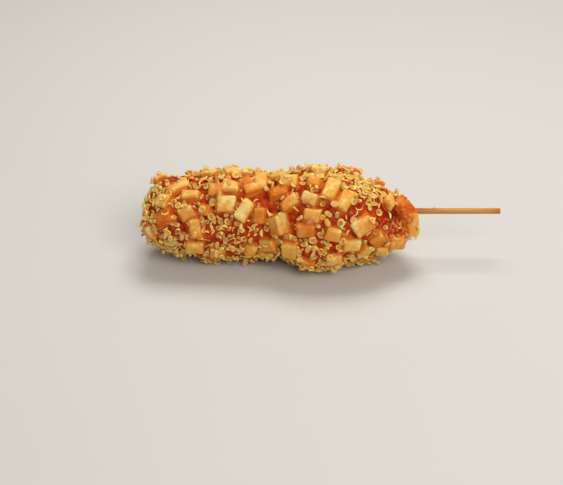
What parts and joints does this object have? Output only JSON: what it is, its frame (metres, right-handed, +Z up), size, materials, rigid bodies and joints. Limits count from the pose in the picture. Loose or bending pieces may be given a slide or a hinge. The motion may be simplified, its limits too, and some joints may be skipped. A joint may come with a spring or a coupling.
{
  "type": "potato corn dog on a skewer",
  "caption": "Sausage-shaped fried batter body on a thin bamboo skewer, crusted with diced potato and puffed quinoa; it lies on its side.",
  "frame": {"origin": "on the surface the corn dog lies on, under the middle of its bounding box", "axes": "+X along the skewer towards its free end, +Z up, +Y away from the side that is shown"},
  "size_m": [0.185, 0.0598, 0.0546],
  "materials": {
    "batter": "deep-fried batter, deep red-orange, rough and oily",
    "potato": "fried potato, pale gold with browned edges",
    "quinoa": "cooked and fried quinoa, translucent pale gold with cream germ rings",
    "bamboo": "dry bamboo, stained red-brown by the batter near the body"
  },
  "bodies": {
    "root": {"batter": "batter", "skewer": "bamboo", "potato_01": "potato", "potato_02": "potato", "potato_03": "potato", "potato_04": "potato", "potato_05": "potato", "potato_06": "potato", "potato_07": "potato", "potato_08": "potato", "potato_09": "potato", "potato_10": "potato", "potato_11": "potato", "potato_12": "potato", "potato_13": "potato", "potato_14": "potato", "potato_15": "potato", "potato_16": "potato", "potato_17": "potato", "potato_18": "potato", "potato_19": "potato", "potato_20": "potato", "potato_21": "potato", "potato_22": "potato", "potato_23": "potato", "potato_24": "potato", "potato_25": "potato", "potato_26": "potato", "potato_27": "potato", "potato_28": "potato", "potato_29": "potato", "potato_30": "potato", "potato_31": "potato", "potato_32": "potato", "potato_33": "potato", "potato_34": "potato", "potato_35": "potato", "potato_36": "potato", "potato_37": "potato", "potato_38": "potato", "potato_39": "potato", "potato_40": "potato", "potato_41": "potato", "potato_42": "potato", "potato_43": "potato", "potato_44": "potato", "potato_45": "potato", "potato_46": "potato", "potato_47": "potato", "potato_48": "potato", "potato_49": "potato", "potato_50": "potato", "potato_51": "potato", "potato_52": "potato", "potato_53": "potato", "potato_54": "potato", "potato_55": "potato", "potato_56": "potato", "potato_57": "potato"}
  },
  "joints": []
}
